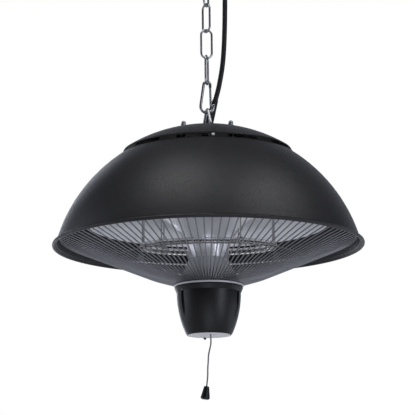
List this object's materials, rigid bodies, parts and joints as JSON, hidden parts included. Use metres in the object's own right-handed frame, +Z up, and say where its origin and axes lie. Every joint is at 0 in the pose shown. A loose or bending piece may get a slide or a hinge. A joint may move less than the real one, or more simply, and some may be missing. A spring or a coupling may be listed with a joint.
{
  "type": "hanging patio heater",
  "caption": "Domed electric patio heater on a ceiling hook and chain, with a ring element behind a wire grille, a switch housing, a pull cord and a mains lead.",
  "frame": {"origin": "on the ceiling, at the axis of the screw hook's shank", "axes": "+Z up along the shank, +X to the right seen from the front, -Y towards the front"},
  "size_m": [0.425, 0.425, 0.816],
  "materials": {
    "shade_coat": "matte powder coat",
    "collar_coat": "matte black",
    "zinc_steel": "bright zinc",
    "plate_steel": "galvanised",
    "reflector_aluminium": "satin",
    "quartz": "frosted",
    "filament_wire": "dull",
    "ceramic": "matte",
    "grille_wire": "zinc plated",
    "black_plastic": "gloss",
    "pale_plastic": "satin",
    "cable_rubber": "matte",
    "pin_brass": "nickel plated",
    "cord_braid": "braided"
  },
  "bodies": {
    "hanger": {"ceiling_hook": "zinc_steel"},
    "top_link": {"chain_link_1": "zinc_steel"},
    "chain": {"chain_link_2": "zinc_steel", "chain_link_3": "zinc_steel", "chain_link_4": "zinc_steel", "chain_link_5": "zinc_steel", "chain_link_6": "zinc_steel", "chain_link_7": "zinc_steel", "chain_link_8": "zinc_steel", "carabiner": "zinc_steel", "gate_pin": "zinc_steel", "power_cable": "cable_rubber", "cable_coil": "cable_rubber", "cable_tie": "cord_braid", "mains_plug": "cable_rubber", "plug_pins": "pin_brass"},
    "gate": {"carabiner_gate": "zinc_steel"},
    "pull": {"switch_slider": "black_plastic", "cord_inner": "cord_braid"},
    "pull_hang": {"pull_cord": "cord_braid", "pull_knob": "black_plastic"},
    "heater": {"shade": "shade_coat", "top_cap": "shade_coat", "vent_collar": "collar_coat", "hanging_eye": "zinc_steel", "eye_nuts": "zinc_steel", "cap_studs": "zinc_steel", "cap_nuts": "zinc_steel", "collar_screws": "zinc_steel", "bracket_screws": "zinc_steel", "tube_nuts": "zinc_steel", "housing_screws": "zinc_steel", "disc_screw": "zinc_steel", "tie_tube": "zinc_steel", "return_spring": "zinc_steel", "tube_hangers": "zinc_steel", "end_brackets": "zinc_steel", "mounting_plate": "plate_steel", "hanger_bracket": "plate_steel", "tube_spacers": "plate_steel", "housing_cover": "plate_steel", "reflector": "reflector_aluminium", "trumpet_skirt": "reflector_aluminium", "quartz_tubes": "quartz", "filaments": "filament_wire", "tube_end_caps": "ceramic", "terminal_block": "ceramic", "grille_wires": "grille_wire", "grille_outer_ring": "grille_wire", "grille_mid_ring": "grille_wire", "grille_foot_ring": "grille_wire", "grille_clips": "grille_wire", "switch_housing": "black_plastic", "pull_switch": "black_plastic", "cable_gland": "black_plastic", "gland_nut": "black_plastic", "bottom_disc": "pale_plastic", "cord_bush": "pale_plastic", "strain_relief": "cable_rubber"}
  },
  "joints": [
    {"name": "chain_swing", "type": "hinge", "parent": "hanger", "child": "top_link", "pos_m": [0, 0, -0.0445], "axis": [1, 0, 0], "range_deg": [-25, 25]},
    {"name": "chain_sway", "type": "hinge", "parent": "top_link", "child": "chain", "pos_m": [0, 0, -0.0807], "axis": [0, 1, 0], "range_deg": [-20, 20]},
    {"name": "gate_open", "type": "hinge", "parent": "chain", "child": "gate", "pos_m": [0.0045, 0, -0.35005], "axis": [0, 1, 0], "range_deg": [0, 20], "stiffness_Nm_per_rad": 0.02, "springref_deg": -20.05},
    {"name": "heater_tilt", "type": "hinge", "parent": "chain", "child": "heater", "pos_m": [0, 0, -0.38705], "axis": [1, 0, 0], "range_deg": [-15, 15], "deforming": ["power_cable"]},
    {"name": "switch_pull", "type": "slide", "parent": "heater", "child": "pull", "axis": [0, 0, -1], "range_m": [0, 0.01], "stiffness_N_per_m": 400, "springref_m": -0.003, "deforming": ["return_spring"]},
    {"name": "cord_swing", "type": "hinge", "parent": "pull", "child": "pull_hang", "pos_m": [0.0019, -0.02, -0.69873], "axis": [1, 0, 0], "range_deg": [-25, 25]}
  ]
}
